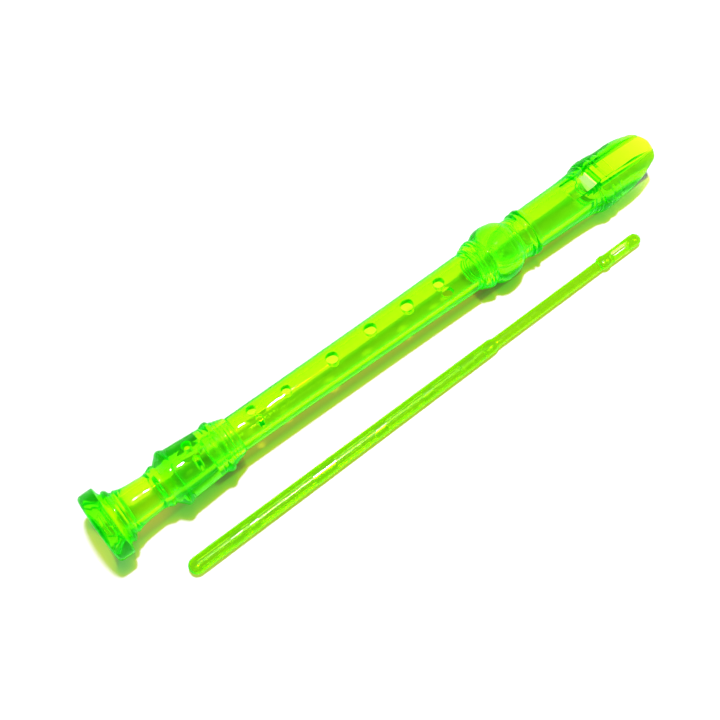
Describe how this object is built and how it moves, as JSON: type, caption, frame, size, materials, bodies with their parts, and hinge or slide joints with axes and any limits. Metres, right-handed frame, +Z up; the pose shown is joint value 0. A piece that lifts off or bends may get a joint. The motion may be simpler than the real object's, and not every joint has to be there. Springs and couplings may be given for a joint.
{
  "type": "soprano recorder",
  "caption": "Clear green plastic soprano recorder in head, middle and foot joints with a white block, lying beside its slotted cleaning rod.",
  "frame": {"origin": "on the table, under the middle of the box round the recorder and its rod", "axes": "+X along the recorder from its bell end to its beak, +Z up out of the finger holes, -Y towards the rod"},
  "size_m": [0.3288, 0.0558, 0.0339],
  "materials": {
    "clear_green_plastic": "polished clear plastic dyed neon yellow-green, with faint mould lines",
    "white_plastic": "plain white moulded plastic with a satin surface",
    "rod_green_plastic": "clear plastic of the same dye, less polished"
  },
  "bodies": {
    "middle": {"middle_joint": "clear_green_plastic"},
    "head": {"head_joint": "clear_green_plastic", "block": "white_plastic"},
    "foot": {"foot_joint": "clear_green_plastic"},
    "rod": {"cleaning_rod": "rod_green_plastic"}
  },
  "joints": [
    {"name": "head_pull", "type": "slide", "parent": "middle", "child": "head", "axis": [1, 0, -0.0091], "range_m": [0, 0.028]},
    {"name": "foot_turn", "type": "hinge", "parent": "middle", "child": "foot", "pos_m": [-0.16422, 0.01096, 0.01699], "axis": [1, 0, -0.0091], "continuous": true},
    {"name": "rod_lift", "type": "slide", "parent": "middle", "child": "rod", "axis": [0, 0, 1], "range_m": [0, 0.1]}
  ]
}
